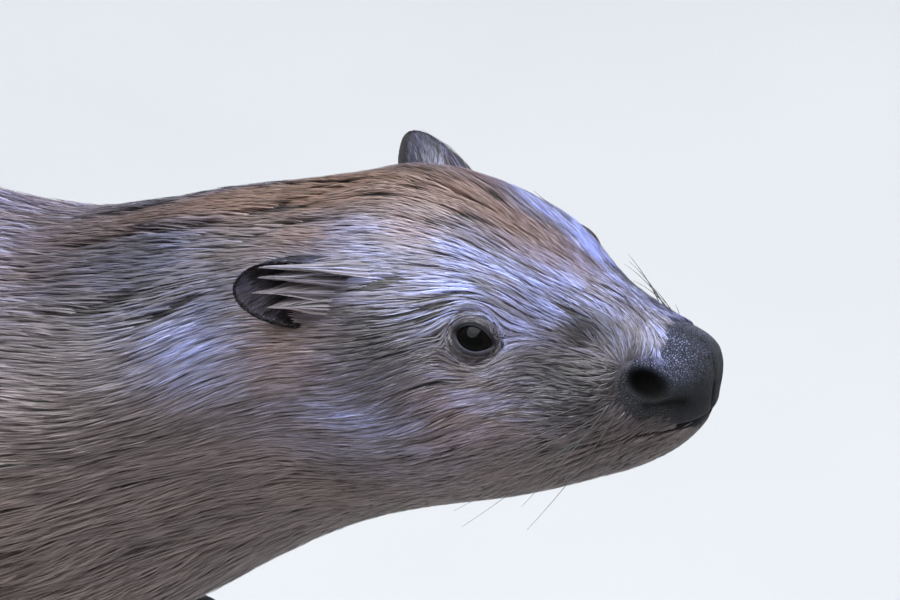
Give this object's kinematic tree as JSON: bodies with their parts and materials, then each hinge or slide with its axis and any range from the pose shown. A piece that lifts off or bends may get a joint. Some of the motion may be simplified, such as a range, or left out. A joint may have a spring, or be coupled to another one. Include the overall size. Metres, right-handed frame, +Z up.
{
  "type": "life-size beaver in a swimming pose on a display stand",
  "caption": "Still museum-style beaver with wet coat, webbed hind feet and flat scaly tail, posed as in swimming over a flat base on short rods.",
  "frame": {"origin": "centre of the part's bounding box in plan, at the underside of the stand's base", "axes": "+X from tail towards nose, +Y to the animal's left, +Z up"},
  "size_m": [1.058, 0.3369, 0.495],
  "materials": {
    "wet_coat": "wet brown fur in fine locks, glossy, with a cool sheen",
    "scaly_skin": "bare dark skin of feet and tail paddle, scaly and damp",
    "eye": "dark, wet and glossy",
    "nose_leather": "black pebbled nose leather, wet",
    "claw": "dark horn, semi-gloss",
    "stand_wood": "plain oiled wood, fine grain",
    "stand_steel": "brushed"
  },
  "bodies": {
    "root": {"head": "wet_coat", "neck": "wet_coat", "trunk": "wet_coat", "tail": "scaly_skin", "ear_left": "wet_coat", "ear_right": "wet_coat", "eye_left": "eye", "eye_right": "eye", "foreleg_left": "wet_coat", "foreleg_right": "wet_coat", "fore_paw_left": "scaly_skin", "fore_paw_right": "scaly_skin", "hind_leg_left": "wet_coat", "hind_leg_right": "wet_coat", "hind_foot_left": "scaly_skin", "hind_foot_right": "scaly_skin", "stand_base": "stand_wood", "stand_rod_front": "stand_steel", "stand_rod_rear": "stand_steel"}
  },
  "joints": []
}
